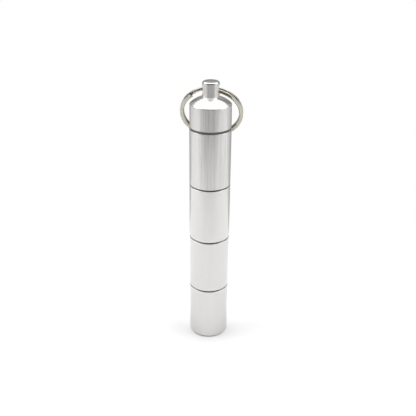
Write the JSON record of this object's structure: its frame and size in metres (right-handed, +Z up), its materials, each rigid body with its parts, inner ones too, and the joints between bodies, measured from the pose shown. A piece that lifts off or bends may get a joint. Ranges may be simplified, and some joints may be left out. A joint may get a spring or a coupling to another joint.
{
  "type": "pill fob keychain",
  "caption": "Slim aluminium pill holder: stacked compartments screw into each other over rubber seals, under a domed cap whose drilled knob carries a split key ring.",
  "frame": {"origin": "middle of the flat underside, where the stack stands", "axes": "+Z up along the stack; the hole through the knob runs along X; the key ring leans against the back, towards +Y; the pictured side faces -Y"},
  "size_m": [0.024, 0.0184, 0.1091],
  "materials": {
    "brushed_aluminium": "bare aluminium, turned and brushed lengthways",
    "seal_rubber": "matt black rubber",
    "nickel_plated_steel": "polished nickel plate on steel wire"
  },
  "bodies": {
    "base": {"base_compartment": "brushed_aluminium"},
    "lower_seal": {"lower_seal": "seal_rubber"},
    "lower": {"lower_compartment": "brushed_aluminium"},
    "upper_seal": {"upper_seal": "seal_rubber"},
    "upper": {"upper_compartment": "brushed_aluminium"},
    "top_seal": {"top_seal": "seal_rubber"},
    "top": {"top_compartment": "brushed_aluminium"},
    "cap_seal": {"cap_seal": "seal_rubber"},
    "cap": {"cap": "brushed_aluminium"},
    "ring": {"split_ring": "nickel_plated_steel"}
  },
  "joints": [
    {"name": "lower_lift", "type": "slide", "parent": "base", "child": "lower_seal", "axis": [0, 0, 1], "range_m": [0, 0.006]},
    {"name": "lower_turn", "type": "hinge", "parent": "lower_seal", "child": "lower", "pos_m": [0, 0, 0.0227], "axis": [0, 0, 1], "range_deg": [0, 2160]},
    {"name": "upper_lift", "type": "slide", "parent": "lower", "child": "upper_seal", "axis": [0, 0, 1], "range_m": [0, 0.006]},
    {"name": "upper_turn", "type": "hinge", "parent": "upper_seal", "child": "upper", "pos_m": [0, 0, 0.04555], "axis": [0, 0, 1], "range_deg": [0, 2160]},
    {"name": "top_lift", "type": "slide", "parent": "upper", "child": "top_seal", "axis": [0, 0, 1], "range_m": [0, 0.006]},
    {"name": "top_turn", "type": "hinge", "parent": "top_seal", "child": "top", "pos_m": [0, 0, 0.0684], "axis": [0, 0, 1], "range_deg": [0, 2160]},
    {"name": "cap_lift", "type": "slide", "parent": "top", "child": "cap_seal", "axis": [0, 0, 1], "range_m": [0, 0.006]},
    {"name": "cap_turn", "type": "hinge", "parent": "cap_seal", "child": "cap", "pos_m": [0, 0, 0.09125], "axis": [0, 0, 1], "range_deg": [0, 2160]},
    {"name": "ring_swing", "type": "hinge", "parent": "cap", "child": "ring", "pos_m": [0, 0, 0.10595], "axis": [1, 0, 0], "range_deg": [0, 310.4]}
  ],
  "couplings": [
    {"joint": "lower_turn", "follows": "lower_lift", "rad_per_m": 6283.2},
    {"joint": "upper_turn", "follows": "upper_lift", "rad_per_m": 6283.2},
    {"joint": "top_turn", "follows": "top_lift", "rad_per_m": 6283.2},
    {"joint": "cap_turn", "follows": "cap_lift", "rad_per_m": 6283.2}
  ]
}
